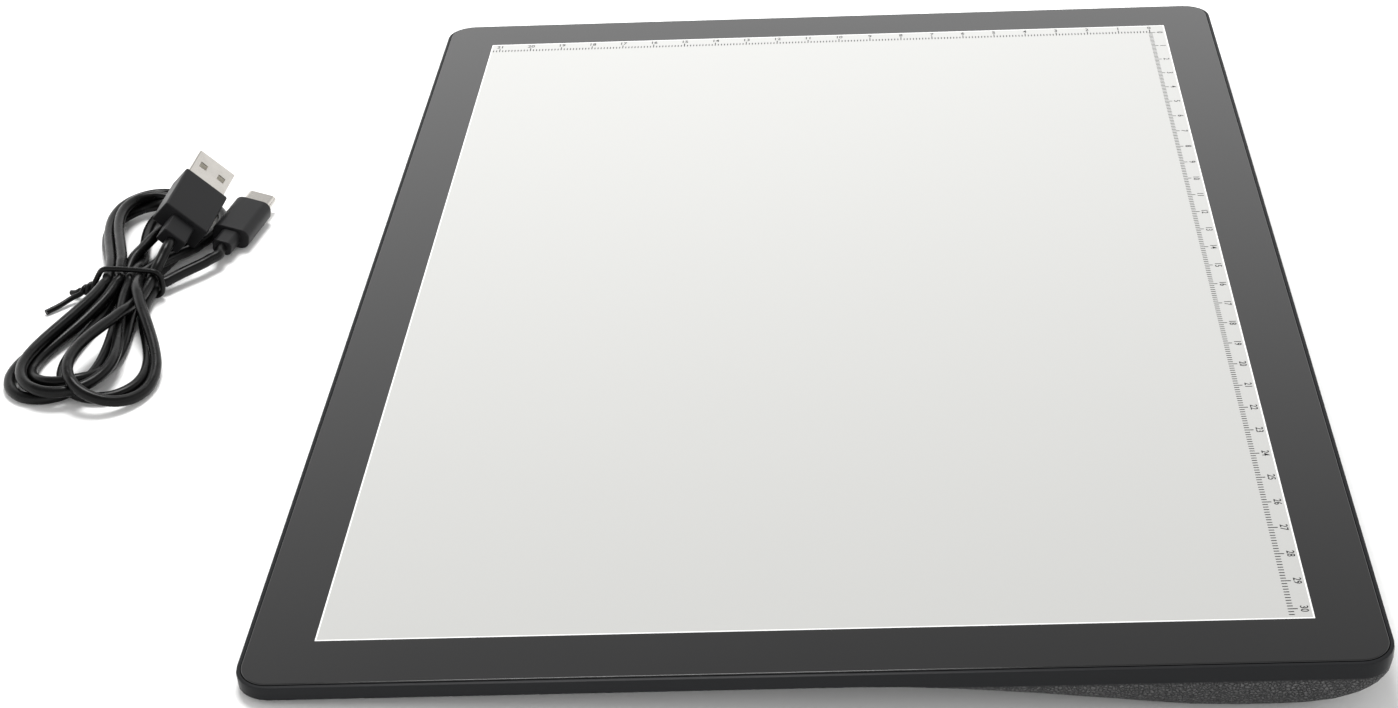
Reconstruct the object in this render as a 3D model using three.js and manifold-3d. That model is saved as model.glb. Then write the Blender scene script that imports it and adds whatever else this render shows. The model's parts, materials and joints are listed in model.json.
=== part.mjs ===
// Rechargeable tracing light box, A4 class, with its USB charging lead.
//
// The pad is drawn flat in its own frame: X along the long side, +Y towards the thick battery side,
// Z = 0 on the face of the top panel. A tilted group then stands it on its feet, and the whole is
// shifted so that the origin is the bottom centre of the pad's bounding box. All lengths are mm.
import * as THREE from 'three';
import { mergeVertices } from 'three/addons/utils/BufferGeometryUtils.js';
import Module from 'manifold-3d';

const wasm = await Module();
wasm.setup();

// ---- Driving dimensions ---------------------------------------------------------------------

const padLength = 340;
const padWidth = 249;
const padCorner = 8;
const thinDepth = 4.4; // from the panel face to the underside, at the front
const bulgeDepth = 14.5; // the same, under the battery bay
const bulgeShelf = 32.5; // from the back edge to where the underside starts to rise
const bulgeRamp = 87; // length of the slope between the two depths
const rampBlend = 0.2; // share of the slope rounded at each end

const rimWidth = 0.9; // of the cover, round the panel
const rimDrop = 0.25; // rim top below the panel face
const coverWall = 1.6; // below the panel
const coverFloor = 0.95;
const wallFoot = 3.4; // depth at which the cover's side starts to round in
const frontRound = 1.6; // plan width of that rounding at the front
const endRound = 6.2; // at the two ends
const backRound = 18; // at the back, over the battery bay

const frameWidth = 3.8; // of the inner frame, along the front and back
const frameWidthEnds = 8.8; // along the two ends, where the screws hold

const panelThickness = 1.5;
const borderWidth = 15.6; // from the pad's edge to the lit area
const tapeThickness = 0.2;
const diffuserThickness = 0.2;
const guideThickness = 1.2;
const guideMargin = 4; // of the light guide behind the lit area
const reflectorThickness = 0.15;
const plateThickness = 0.6;
const plateSetback = 20; // of the support plate's front edge, from where the ramp starts
const sheetCorner = 2.4;

const ledCount = 6;
const ledLength = 4;
const ledHeight = 1;
const ledThickness = 1;
const ledBoardThickness = 0.8;
const ledStripEnd = 7; // from the strip's end to the end of the light guide
const ledEndMargin = 27; // from the last LED to the strip's end

const cellWidth = 38;
const cellThickness = 5;
const cellGap = 8; // between the two cells
const cellToBoard = 10;
const bayEndMargin = 24; // from each end of the pad to the board and to the last cell
const cellFrontRun = 22; // how far the cells reach onto the ramp
const foamInset = 6;
const foamFrontInset = 10;
const foamBackInset = 2;

const boardLength = 74;
const boardWidth = 23.9;
const boardThickness = 1;
const boardSetback = 3; // from the back wall
const boardScrewInset = 4;
const boardScrewPitch = 48;
const boardScrewReach = 3; // into its post

const portFromEnd = 46; // from the pad's left end to the port's centre
const portWidth = 9;
const portHeight = 3.2;
const portLength = 7.3;
const portDrop = 1.6; // from the top of the rounded back to the port
const portSetback = 0.3; // of the port's mouth, inside the back face
const indicatorFromEnd = 63;
const indicatorRadius = 1;
const buttonFromEnd = 82;
const buttonLength = 9;
const buttonHeight = 3.2;
const buttonProud = 0.45; // out of the back face
const buttonTravel = 0.5;
const earLength = 1.2; // of the button's retaining ears, inside the cover
const earThickness = 0.8;

const footRadius = 5;
const footProud = 0.9; // below the cover
const footRecess = 0.4; // into the cover
const footFromEnd = 22;
const footFromFront = 16.5;
const footFromBack = 25.5;

const boardPostRadius = 2.6;
const screwPostRadius = 2.2;
const platePostRadius = 2;
const screwRadius = 1;
const screwHeadRadius = 1.9;
const screwHeadHeight = 0.7;
const screwFromFront = 19.5;
const recessWidth = 0.5; // of the cross in a screw's head
const recessDepth = 0.35;

const leadDiameter = 3;
const leadX = 0; // the tie round the hank's waist
const leadY = -188;
const leadTurn = 97; // degrees, from the lead's own frame

const sheetGap = 0.1; // between stacked sheets
const fitGap = 0.2; // round pieces that drop into a pocket
const touchGap = 0.3; // between faces that only meet

// ---- Places worked out from them -------------------------------------------------------------

const halfX = padLength / 2;
const halfY = padWidth / 2;
const rampEnd = halfY - bulgeShelf;
const rampStart = rampEnd - bulgeRamp;
const frameTop = -(panelThickness + tapeThickness + sheetGap);
const diffuserTop = -(panelThickness + sheetGap);
const guideTop = diffuserTop - diffuserThickness - sheetGap;
const reflectorTop = guideTop - guideThickness - sheetGap;
const trayFloor = coverFloor - thinDepth; // inside face of the thin cover
const frameBottom = trayFloor + sheetGap;
const plateTop = reflectorTop - reflectorThickness - 2 * sheetGap;
const plateBottom = plateTop - plateThickness;
const frameInset = coverWall + fitGap;
const guideHalfX = halfX - frameInset - frameWidthEnds - touchGap;
const guideBack = halfY - borderWidth + guideMargin;
const ledBack = guideBack + fitGap + ledThickness;

const portX = portFromEnd - halfX;
const indicatorX = indicatorFromEnd - halfX;
const buttonX = buttonFromEnd - halfX;
const portZ = -wallFoot - portDrop - portHeight / 2;
const bayTop = portZ + portHeight / 2 + fitGap;
const boardLeft = bayEndMargin - halfX;
const boardRight = boardLeft + boardLength;
const boardTop = portZ - portHeight / 2 - sheetGap;
const boardBottom = boardTop - boardThickness;
const boardBack = halfY - coverWall - boardSetback;
const boardFront = boardBack - boardWidth;
const partsBase = boardTop + sheetGap; // underside of the parts on the board

const firstCell = boardRight + cellToBoard;
const cellLength = (halfX - bayEndMargin - firstCell - cellGap) / 2;
const secondCell = firstCell + cellLength + cellGap;
const cellFront = rampEnd - cellFrontRun;
const cellTop = plateBottom - sheetGap;

const frontFootY = footFromFront - halfY;
const backFootY = halfY - footFromBack;
const padTilt = Math.atan((bulgeDepth - thinDepth) / (backFootY - frontFootY));

// ---- Helpers ------------------------------------------------------------------------------------

function paint(color, roughness, metalness = 0) {
  return new THREE.MeshStandardMaterial({ color, roughness, metalness });
}

function node(name, geometry, material) {
  const mesh = new THREE.Mesh(geometry, material);
  mesh.name = name;
  return mesh;
}

function solid(geometry) {
  const bare = geometry.clone();
  bare.deleteAttribute('normal');
  bare.deleteAttribute('uv');
  const merged = mergeVertices(bare, 1e-5);
  return new wasm.Manifold(new wasm.Mesh({
    numProp: 3,
    vertProperties: merged.attributes.position.array,
    triVerts: Uint32Array.from(merged.index.array),
  }));
}

function geometryOf(manifold) {
  const mesh = manifold.getMesh();
  const geometry = new THREE.BufferGeometry();
  geometry.setAttribute('position', new THREE.BufferAttribute(mesh.vertProperties.slice(), 3));
  geometry.setIndex(new THREE.BufferAttribute(mesh.triVerts.slice(), 1));
  geometry.computeVertexNormals();
  return geometry;
}

function cut(body, ...tools) {
  return tools.reduce((rest, tool) => rest.subtract(solid(tool)), body);
}

function join(body, ...parts) {
  return parts.reduce((whole, part) => whole.add(solid(part)), body);
}

// A box from its lowest to its highest corner.
function block([x0, y0, z0], [x1, y1, z1]) {
  return new THREE.BoxGeometry(x1 - x0, y1 - y0, z1 - z0)
    .translate((x0 + x1) / 2, (y0 + y1) / 2, (z0 + z1) / 2);
}

function roundedRect(x0, y0, x1, y1, radius) {
  const shape = new THREE.Shape();
  shape.moveTo(x0 + radius, y0);
  shape.lineTo(x1 - radius, y0);
  shape.absarc(x1 - radius, y0 + radius, radius, -Math.PI / 2, 0);
  shape.lineTo(x1, y1 - radius);
  shape.absarc(x1 - radius, y1 - radius, radius, 0, Math.PI / 2);
  shape.lineTo(x0 + radius, y1);
  shape.absarc(x0 + radius, y1 - radius, radius, Math.PI / 2, Math.PI);
  shape.lineTo(x0, y0 + radius);
  shape.absarc(x0 + radius, y0 + radius, radius, Math.PI, Math.PI * 1.5);
  return shape;
}

// The pad's outline, set in by one distance at the ends and another along the sides.
function padOutline(insetX, insetY = insetX) {
  const radius = Math.max(padCorner - Math.min(insetX, insetY), 1);
  return roundedRect(insetX - halfX, insetY - halfY, halfX - insetX, halfY - insetY, radius);
}

function slab(shape, low, high, curveSegments = 6) {
  const options = { depth: high - low, bevelEnabled: false, curveSegments };
  return new THREE.ExtrudeGeometry(shape, options).translate(0, 0, low);
}

function upright(radius, x, y, low, high, sides = 16) {
  return new THREE.CylinderGeometry(radius, radius, high - low, sides)
    .rotateX(Math.PI / 2)
    .translate(x, y, (low + high) / 2);
}

// A closed tube round a smooth curve through the points.
function tube(points, diameter, steps, sides = 8) {
  const section = new THREE.Shape();
  section.absarc(0, 0, diameter / 2, 0, Math.PI * 2);
  const path = new THREE.CatmullRomCurve3(points.map((p) => new THREE.Vector3(...p)));
  return new THREE.ExtrudeGeometry(section, { extrudePath: path, steps, curveSegments: sides });
}

// A closed skin through a stack of rounded rectangles that mirror in X. Each level, from the top
// down, gives its half width, its front and back edges, its corner radius and a height at each y.
function loft(levels, cornerSteps = 6, sideSteps = 22) {
  const positions = [];
  const index = [];
  const half = 2 * (cornerSteps + 1) + sideSteps - 1;
  for (const { x, front, back, radius, height } of levels) {
    const right = [];
    for (let i = 0; i <= cornerSteps; i += 1) {
      const a = (Math.PI / 2) * (i / cornerSteps - 1);
      right.push([x - radius + radius * Math.cos(a), front + radius + radius * Math.sin(a)]);
    }
    for (let i = 1; i < sideSteps; i += 1) {
      right.push([x, THREE.MathUtils.lerp(front + radius, back - radius, i / sideSteps)]);
    }
    for (let i = 0; i <= cornerSteps; i += 1) {
      const a = (Math.PI / 2) * (i / cornerSteps);
      right.push([x - radius + radius * Math.cos(a), back - radius + radius * Math.sin(a)]);
    }
    for (const [px, py] of right) positions.push(px, py, height(py));
    for (const [px, py] of right.reverse()) positions.push(-px, py, height(py));
  }
  const ring = 2 * half;
  for (let level = 0; level + 1 < levels.length; level += 1) {
    for (let i = 0; i < ring; i += 1) {
      const upper = level * ring + i;
      const upperNext = level * ring + ((i + 1) % ring);
      index.push(upper, upper + ring, upperNext + ring, upper, upperNext + ring, upperNext);
    }
  }
  const last = (levels.length - 1) * ring;
  for (let i = 0; i + 1 < half; i += 1) {
    const [right, rightNext, left, leftNext] = [i, i + 1, ring - 1 - i, ring - 2 - i];
    index.push(right, rightNext, leftNext, right, leftNext, left);
    index.push(last + right, last + leftNext, last + rightNext);
    index.push(last + right, last + left, last + leftNext);
  }
  const geometry = new THREE.BufferGeometry();
  geometry.setAttribute('position', new THREE.Float32BufferAttribute(positions, 3));
  geometry.setIndex(index);
  return geometry;
}

// Depth of the underside below the panel face at each y: flat, a soft-ended ramp, flat.
function undersideDepth(y) {
  const t = THREE.MathUtils.clamp((y - rampStart) / bulgeRamp, 0, 1);
  const curve = 2 * rampBlend * (1 - rampBlend);
  let rise = (t - rampBlend / 2) / (1 - rampBlend);
  if (t < rampBlend) rise = (t * t) / curve;
  if (t > 1 - rampBlend) rise = 1 - ((1 - t) * (1 - t)) / curve;
  return thinDepth + (bulgeDepth - thinDepth) * rise;
}

// The cover's skin below a given height: its lower edge rounds in as a quarter of an ellipse.
function bellyLevels(top, inset, floor, rounds, steps) {
  const levels = [];
  for (let i = 0; i <= steps; i += 1) {
    const angle = (Math.PI / 2) * (i / steps);
    const inward = 1 - Math.cos(angle);
    levels.push({
      x: halfX - inset - rounds.end * inward,
      front: inset - halfY + rounds.front * inward,
      back: halfY - inset - rounds.back * inward,
      radius: padCorner - inset + padCorner * inward,
      height: (y) => top - (undersideDepth(y) - floor + top) * Math.sin(angle),
    });
  }
  return levels;
}

// A cross-head screw along Z. Its head lies between headBase, on the cross's side, and headTop.
function screw(radius, tip, headBase, headTop) {
  const outward = Math.sign(headBase - tip);
  const shank = solid(upright(radius, 0, 0, Math.min(tip, headTop), Math.max(tip, headTop), 12));
  const low = Math.min(headBase, headTop);
  const high = Math.max(headBase, headTop);
  const floor = headBase - outward * recessDepth;
  const open = headBase + outward;
  const arm = screwHeadRadius * 0.6;
  const armBlock = (x, y) => block([-x, -y, Math.min(floor, open)], [x, y, Math.max(floor, open)]);
  return geometryOf(cut(
    join(shank, upright(screwHeadRadius, 0, 0, low, high, 20)),
    armBlock(arm, recessWidth / 2),
    armBlock(recessWidth / 2, arm),
  ));
}

// ---- Casing -------------------------------------------------------------------------------------

// The screws at the ends sit just inside the rounded edge of the underside.
const screwX = halfX - endRound - screwHeadRadius - 2 * fitGap;
const screwSpots = [];
for (const x of [-screwX, screwX]) {
  for (const y of [screwFromFront - halfY, 0, backFootY]) screwSpots.push([x, y]);
}
const footSpots = [];
for (const y of [frontFootY, backFootY]) {
  for (const x of [footFromEnd - halfX, halfX - footFromEnd]) footSpots.push([x, y]);
}
const boardPosts = [0, boardScrewPitch].map((x) => [
  boardLeft + boardScrewInset + x,
  boardFront + boardScrewInset,
]);
// Posts under the support plate: near its ends, beside the board and between the cells.
const platePosts = [
  bayEndMargin - platePostRadius - touchGap - halfX,
  boardRight + cellToBoard / 2,
  firstCell + cellLength + cellGap / 2,
  halfX - bayEndMargin + platePostRadius + touchGap,
].map((x) => [x, cellFront - cellToBoard]);

// A flat ring inside the cover that carries the panel and takes the screws.
function innerFrame() {
  const ring = padOutline(frameInset);
  ring.holes.push(padOutline(frameInset + frameWidthEnds, frameInset + frameWidth));
  let body = solid(slab(ring, frameBottom, frameTop));
  for (const [x, y] of screwSpots) {
    body = cut(body, upright(screwRadius + sheetGap, x, y, frameBottom - 1, frameTop + 1, 12));
  }
  return geometryOf(body);
}

// Outside of the back edge, at the height of the port and the button.
function backFaceAt(z) {
  const sine = (-wallFoot - z) / (bulgeDepth - wallFoot);
  return halfY - backRound * (1 - Math.sqrt(1 - sine * sine));
}

// The hole in the back wall that a slot-shaped piece shows through.
function wallSlot(width, height, x) {
  return slotBar(width + 2 * fitGap, height + 2 * fitGap, x, portZ, boardBack - 4, halfY + 1);
}

function slotShape(width, height) {
  return roundedRect(-width / 2, -height / 2, width / 2, height / 2, height / 2 - 0.01);
}

// A slot-shaped bar along Y, centred on (x, z).
function slotBar(width, height, x, z, front, back) {
  return slab(slotShape(width, height), 0, back - front, 6)
    .rotateX(Math.PI / 2)
    .translate(x, back, z);
}

// The one-piece rear cover: a shallow tray at the front that deepens into the battery bay.
function rearCover() {
  const edge = 0.35; // rounding of the rim
  const rimLevel = (inset, z) => ({
    x: halfX - inset,
    front: inset - halfY,
    back: halfY - inset,
    radius: padCorner - inset,
    height: () => z,
  });
  const outside = [
    rimLevel(edge, -rimDrop),
    rimLevel(edge / 4, -rimDrop - edge / 4),
    rimLevel(0, -rimDrop - edge),
    ...bellyLevels(-wallFoot, 0, 0, { front: frontRound, end: endRound, back: backRound }, 8),
  ];
  const inside = bellyLevels(trayFloor, coverWall, coverFloor, {
    front: frontRound,
    end: endRound - coverFloor,
    back: backRound - coverFloor,
  }, 5);
  inside.unshift({ ...inside[0], height: () => frameTop + sheetGap });
  let body = solid(loft(outside)).subtract(solid(loft(inside)));
  body = cut(body, slab(padOutline(rimWidth), frameTop, 1));

  const pocketSide = 5 * fitGap; // beside the board, where the rounded back is cut for it
  body = cut(
    body,
    block(
      [boardLeft - pocketSide, boardBack - boardWidth / 2, boardBottom - fitGap],
      [boardRight + pocketSide, boardBack + fitGap, bayTop],
    ),
    wallSlot(portWidth, portHeight, portX),
    wallSlot(buttonLength, buttonHeight, buttonX),
    upright(indicatorRadius + fitGap / 2, 0, 0, 0, 10)
      .rotateX(-Math.PI / 2)
      .translate(indicatorX, boardBack - touchGap, portZ),
  );
  const postFoot = (y) => -undersideDepth(y) + coverFloor / 2;
  for (const [x, y] of boardPosts) {
    const top = boardBottom - sheetGap;
    body = join(body, upright(boardPostRadius, x, y, postFoot(y), top));
    body = cut(body, upright(screwRadius, x, y, top - boardScrewReach, top + 1, 12));
  }
  for (const [x, y] of platePosts) {
    body = join(body, upright(platePostRadius, x, y, postFoot(y), plateBottom - sheetGap, 12));
  }
  for (const [x, y] of screwSpots) {
    const under = -undersideDepth(y);
    if (y > rampStart) {
      body = join(body, upright(screwPostRadius, x, y, postFoot(y), trayFloor, 12));
    }
    body = cut(
      body,
      upright(screwRadius + sheetGap, x, y, under - 1, trayFloor + 0.05, 12),
      upright(screwHeadRadius + fitGap, x, y, under - 1, under + screwHeadHeight, 16),
    );
  }
  for (const [x, y] of footSpots) {
    const under = -undersideDepth(y);
    body = cut(body, upright(footRadius + fitGap, x, y, under - 1, under + footRecess, 24));
  }
  return geometryOf(body);
}

// A screw through the cover from below, long enough to hold in the frame.
function coverScrew(y) {
  const under = -undersideDepth(y);
  return screw(screwRadius, frameTop - sheetGap, under, under + screwHeadHeight - sheetGap);
}

// The feet's soles lie in the plane of the desk, so the lower face is cut to it.
function foot(y) {
  const under = -undersideDepth(y);
  const low = under - footProud - footRadius * Math.tan(padTilt) - sheetGap;
  const body = upright(footRadius, 0, 0, low, under + footRecess - sheetGap, 24);
  const reach = 2 * footRadius;
  const belowDesk = block([-reach, -reach, -reach], [reach, reach, 0])
    .rotateX(-padTilt)
    .translate(0, 0, under - footProud);
  return geometryOf(cut(solid(body), belowDesk));
}

function casing() {
  const group = new THREE.Group();
  group.add(node('rear_cover', rearCover(), paint('#2f3032', 0.6)));
  group.add(node('inner_frame', innerFrame(), paint('#1d1d1e', 0.6)));
  const panel = slab(padOutline(rimWidth + fitGap), -panelThickness, 0);
  group.add(node('top_panel', panel, paint('#dededb', 0.12)));
  screwSpots.forEach(([x, y], i) => {
    const screw = node(`cover_screw_${i + 1}`, coverScrew(y), paint('#2b2b2d', 0.35, 0.9));
    screw.position.set(x, y, 0);
    group.add(screw);
  });
  footSpots.forEach(([x, y], i) => {
    const piece = node(`foot_${i + 1}`, foot(y), paint('#1b1b1b', 0.9));
    piece.position.set(x, y, 0);
    group.add(piece);
  });
  return group;
}

// ---- Light stack --------------------------------------------------------------------------------

function lightStack() {
  const group = new THREE.Group();
  const sheetHalfY = halfY - frameInset - frameWidth - touchGap;

  const tape = padOutline(rimWidth + 2 * fitGap);
  tape.holes.push(padOutline(frameInset + frameWidthEnds, frameInset + frameWidth));
  const tapeTop = -panelThickness - sheetGap / 2;
  group.add(node('panel_tape', slab(tape, tapeTop - tapeThickness, tapeTop), paint('#d8d4c8', 0.8)));

  const sheet = (name, top, thickness, back, material) => {
    const shape = roundedRect(-guideHalfX, -sheetHalfY, guideHalfX, back, sheetCorner);
    group.add(node(name, slab(shape, top - thickness, top, 3), material));
  };
  sheet('diffuser_sheet', diffuserTop, diffuserThickness, sheetHalfY, paint('#f4f4f2', 0.6));
  sheet('light_guide_plate', guideTop, guideThickness, guideBack, paint('#e9f0ef', 0.08));
  sheet('reflector_sheet', reflectorTop, reflectorThickness, guideBack, paint('#fafafa', 0.4));

  const plate = block(
    [-guideHalfX, rampStart + plateSetback, plateBottom],
    [guideHalfX, guideBack, plateTop],
  );
  group.add(node('support_plate', plate, paint('#b9bcc0', 0.4, 0.9)));

  const ledZ = guideTop - guideThickness / 2;
  const stripHalf = guideHalfX - ledStripEnd;
  const ledPitch = (2 * (stripHalf - ledEndMargin)) / (ledCount - 1);
  const strip = block(
    [-stripHalf, ledBack + sheetGap, guideTop - guideThickness],
    [stripHalf, ledBack + sheetGap + ledBoardThickness, guideTop],
  );
  group.add(node('led_strip_board', strip, paint('#f0f0ea', 0.5)));
  for (let i = 0; i < ledCount; i += 1) {
    const x = (i - (ledCount - 1) / 2) * ledPitch;
    const led = block(
      [x - ledLength / 2, ledBack - ledThickness, ledZ - ledHeight / 2],
      [x + ledLength / 2, ledBack, ledZ + ledHeight / 2],
    );
    group.add(node(`led_${i + 1}`, led, paint('#f2e08a', 0.35)));
  }

  const flexX = boardLeft + boardLength / 2 + 7;
  const flexY = ledBack + ledBoardThickness + 3 * sheetGap;
  const flexHalf = 3;
  const flexThickness = 0.2;
  const socketTop = partsBase + 1.2;
  const flex = block(
    [flexX - flexHalf, flexY, socketTop + sheetGap],
    [flexX + flexHalf, flexY + flexThickness, guideTop - touchGap],
  );
  group.add(node('led_flex', flex, paint('#a4601f', 0.5)));
  const socket = block(
    [flexX - flexHalf - 0.5, flexY - 1, partsBase],
    [flexX + flexHalf + 0.5, flexY + 1.2, socketTop],
  );
  group.add(node('led_flex_socket', socket, paint('#e8e2d2', 0.6)));
  return group;
}

// ---- Power: board, cells, port, button -----------------------------------------------------------

function usbReceptacle() {
  const wall = 0.3;
  const backWall = 0.6;
  const shell = solid(slotBar(portWidth, portHeight, 0, 0, -portLength, 0));
  return geometryOf(cut(
    shell,
    slotBar(portWidth - 2 * wall, portHeight - 2 * wall, 0, 0, backWall - portLength, 1),
  ));
}

function chargingPort() {
  const group = new THREE.Group();
  group.position.set(portX, backFaceAt(portZ) - portSetback, portZ);
  group.add(node('usb_c_receptacle', usbReceptacle(), paint('#b7b9bb', 0.3, 0.95)));
  const tongueHalf = [3.3, 0.35];
  const tongueFront = -1.2; // behind the port's mouth
  const tongue = block(
    [-tongueHalf[0], 0.7 - portLength, -tongueHalf[1]],
    [tongueHalf[0], tongueFront, tongueHalf[1]],
  );
  group.add(node('receptacle_tongue', tongue, paint('#1a1a1a', 0.5)));
  return group;
}

// The charge light: a clear pipe through the back wall with a lamp behind it.
function chargeLight() {
  const group = new THREE.Group();
  const pipeFront = boardBack - 4;
  const pipe = upright(indicatorRadius, 0, 0, 0, backFaceAt(portZ) - pipeFront, 16)
    .rotateX(-Math.PI / 2)
    .translate(indicatorX, pipeFront, portZ);
  group.add(node('indicator_light_pipe', pipe, paint('#dfe6e4', 0.15)));
  const lampHalf = 0.8;
  const lampBack = pipeFront - fitGap;
  const lamp = block(
    [indicatorX - lampHalf, lampBack - 1, partsBase],
    [indicatorX + lampHalf, lampBack, portZ + indicatorRadius / 2],
  );
  group.add(node('indicator_led', lamp, paint('#f3f3ee', 0.3)));
  return group;
}

function mainBoard() {
  const group = new THREE.Group();
  const board = cut(
    solid(block([boardLeft, boardFront, boardBottom], [boardRight, boardBack, boardTop])),
    ...boardPosts.map(([x, y]) => (
      upright(screwRadius + sheetGap, x, y, boardBottom - 1, boardTop + 1, 12)
    )),
  );
  group.add(node('main_board', geometryOf(board), paint('#1f5a35', 0.5)));
  const headTop = boardTop + sheetGap + screwHeadHeight;
  const tip = boardBottom - boardScrewReach + sheetGap;
  boardPosts.forEach(([x, y], i) => {
    const piece = screw(screwRadius - sheetGap, tip, headTop, boardTop + sheetGap);
    const mesh = node(`board_screw_${i + 1}`, piece, paint('#b8b8ba', 0.3, 0.9));
    mesh.position.set(x, y, 0);
    group.add(mesh);
  });

  const chipSide = 7;
  const [chipX, chipY] = [boardLeft + 23, boardFront + 9];
  const chip = block([chipX, chipY, partsBase], [chipX + chipSide, chipY + chipSide, partsBase + 1]);
  group.add(node('driver_chip', chip, paint('#191919', 0.5)));
  const coil = upright(3.4, boardLeft + 38, boardFront + 8, partsBase, partsBase + 2.6, 16);
  group.add(node('boost_inductor', coil, paint('#2e2f33', 0.7)));
  return group;
}

// A round-headed tube of wire from one x to another, offset sideways at its ends.
function wire(fromX, toX, fromY, toY, fromZ, toZ) {
  const straight = 3;
  return tube([
    [fromX, fromY, fromZ],
    [fromX + straight, fromY, fromZ],
    [toX - straight, toY, toZ],
    [toX, toY, toZ],
  ], 1, 8, 4);
}

function battery() {
  const group = new THREE.Group();
  const socketHalf = 3;
  const socketX = boardRight - 7;
  const socketY = boardFront + 6;
  const socket = block(
    [socketX - socketHalf, socketY - socketHalf, partsBase],
    [socketX + socketHalf, socketY + socketHalf, partsBase + 2.6],
  );
  group.add(node('battery_socket', socket, paint('#ece8dc', 0.6)));

  const cellBottom = cellTop - cellThickness;
  [firstCell, secondCell].forEach((x, i) => {
    const cell = block([x, cellFront, cellBottom], [x + cellLength, cellFront + cellWidth, cellTop]);
    group.add(node(`battery_cell_${i + 1}`, cell, paint('#9fa3a8', 0.35, 0.6)));
    const foamFront = cellFront + foamFrontInset;
    const foam = block(
      [x + foamInset, foamFront, -undersideDepth(foamFront) + coverFloor + fitGap],
      [x + cellLength - foamInset, cellFront + cellWidth - foamBackInset, cellBottom - sheetGap],
    );
    group.add(node(`foam_pad_${i + 1}`, foam, paint('#2f2f31', 0.95)));
  });

  const wireZ = partsBase + 1.3;
  const cellWireZ = wireZ + 0.4;
  const socketEnd = socketX + socketHalf + touchGap;
  const firstCellEnd = firstCell + cellLength + touchGap;
  for (const [name, offset, color] of [['red', 1.2, '#b3261e'], ['black', -1.2, '#1c1c1c']]) {
    const [near, far] = [socketY + offset, socketY + 2 * offset];
    const lead = wire(socketEnd, firstCell - touchGap, near, far, wireZ, cellWireZ);
    group.add(node(`battery_wire_${name}`, lead, paint(color, 0.5)));
    const link = wire(firstCellEnd, secondCell - touchGap, far, far - 0.8, cellWireZ, cellWireZ);
    group.add(node(`cell_link_${name}`, link, paint(color, 0.5)));
  }
  return group;
}

// The push button, and the side-push switch on the board that it works.
function powerSwitch() {
  const group = new THREE.Group();
  const capFront = boardBack - earThickness;
  const earReach = buttonLength / 2 + earLength;
  const earHalf = buttonHeight / 2 - fitGap;
  const cap = join(
    solid(slotBar(
      buttonLength,
      buttonHeight,
      buttonX,
      portZ,
      capFront,
      backFaceAt(portZ) + buttonProud,
    )),
    block([buttonX - earReach, capFront, portZ - earHalf], [buttonX + earReach, boardBack, portZ + earHalf]),
  );
  group.add(node('power_button', geometryOf(cap), paint('#2a2a2b', 0.5)));

  const stemBack = capFront - sheetGap;
  const switchBack = stemBack - 1.2;
  const stemHalf = [1.3, 0.7];
  const stem = block(
    [buttonX - stemHalf[0], switchBack + touchGap, portZ - stemHalf[1]],
    [buttonX + stemHalf[0], stemBack, portZ + stemHalf[1]],
  );
  group.add(node('switch_plunger', stem, paint('#8c1d18', 0.5)));

  const bodyHalf = 3;
  const tact = solid(block(
    [buttonX - bodyHalf, switchBack - 3.5, partsBase],
    [buttonX + bodyHalf, switchBack, portZ + buttonHeight / 2],
  ));
  const bore = block(
    [buttonX - stemHalf[0] - fitGap, switchBack - buttonTravel - touchGap, portZ - stemHalf[1] - fitGap],
    [buttonX + stemHalf[0] + fitGap, switchBack + 1, portZ + stemHalf[1] + fitGap],
  );
  group.add(node('tact_switch', geometryOf(cut(tact, bore)), paint('#c9cbcd', 0.3, 0.8)));
  return group;
}

// ---- Charging lead ------------------------------------------------------------------------------

// The lead is drawn on the desk with its hank's waist at the origin, Y towards the plugs and X to
// the plugs' side.
const hankHeight = 6.4;
const waistHalf = 7.4;
const waistLength = 4;
const tieWire = 1.8;

// Outline of the folded cable: a narrow waist at the tie and a round-ended lobe each way.
function hankOutline() {
  const shoulder = waistLength + 1;
  const shape = new THREE.Shape();
  shape.moveTo(-waistHalf, -waistLength);
  shape.bezierCurveTo(-waistHalf - 5, -18, -26, -34, -26.5, -44);
  shape.bezierCurveTo(-27, -60, -14, -62, 2, -62);
  shape.bezierCurveTo(12, -61, 10.5, -44, 10, -34);
  shape.bezierCurveTo(9.5, -20, waistHalf, -14, waistHalf, -waistLength);
  shape.lineTo(waistHalf, shoulder);
  shape.lineTo(1.6, shoulder);
  shape.bezierCurveTo(3, 16, 12, 26, 13, 42);
  shape.bezierCurveTo(13.5, 57, -6, 57, -7, 42);
  shape.bezierCurveTo(-8, 26, -waistHalf, 14, -waistHalf, waistLength);
  return shape;
}

// A plug's own frame: Y towards its tip from the root of its boot, Z out of its broad face.
const plugA = { root: [9.9, 12.4, 10], turn: 13, rise: 5, roll: 42 };
const plugC = { root: [22.5, 18, 4.1], turn: 17, rise: 0.5, roll: 10 };

function plugFrame({ root, turn, rise, roll }) {
  const group = new THREE.Group();
  group.position.set(...root);
  group.rotation.order = 'ZXY';
  group.rotation.set(
    THREE.MathUtils.degToRad(rise),
    THREE.MathUtils.degToRad(roll),
    -THREE.MathUtils.degToRad(turn),
  );
  return group;
}

// A bar of a rounded section along Y.
function bar(width, height, radius, front, back) {
  return slab(roundedRect(-width / 2, -height / 2, width / 2, height / 2, radius), 0, back - front, 3)
    .rotateX(Math.PI / 2)
    .translate(0, back, 0);
}

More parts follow.
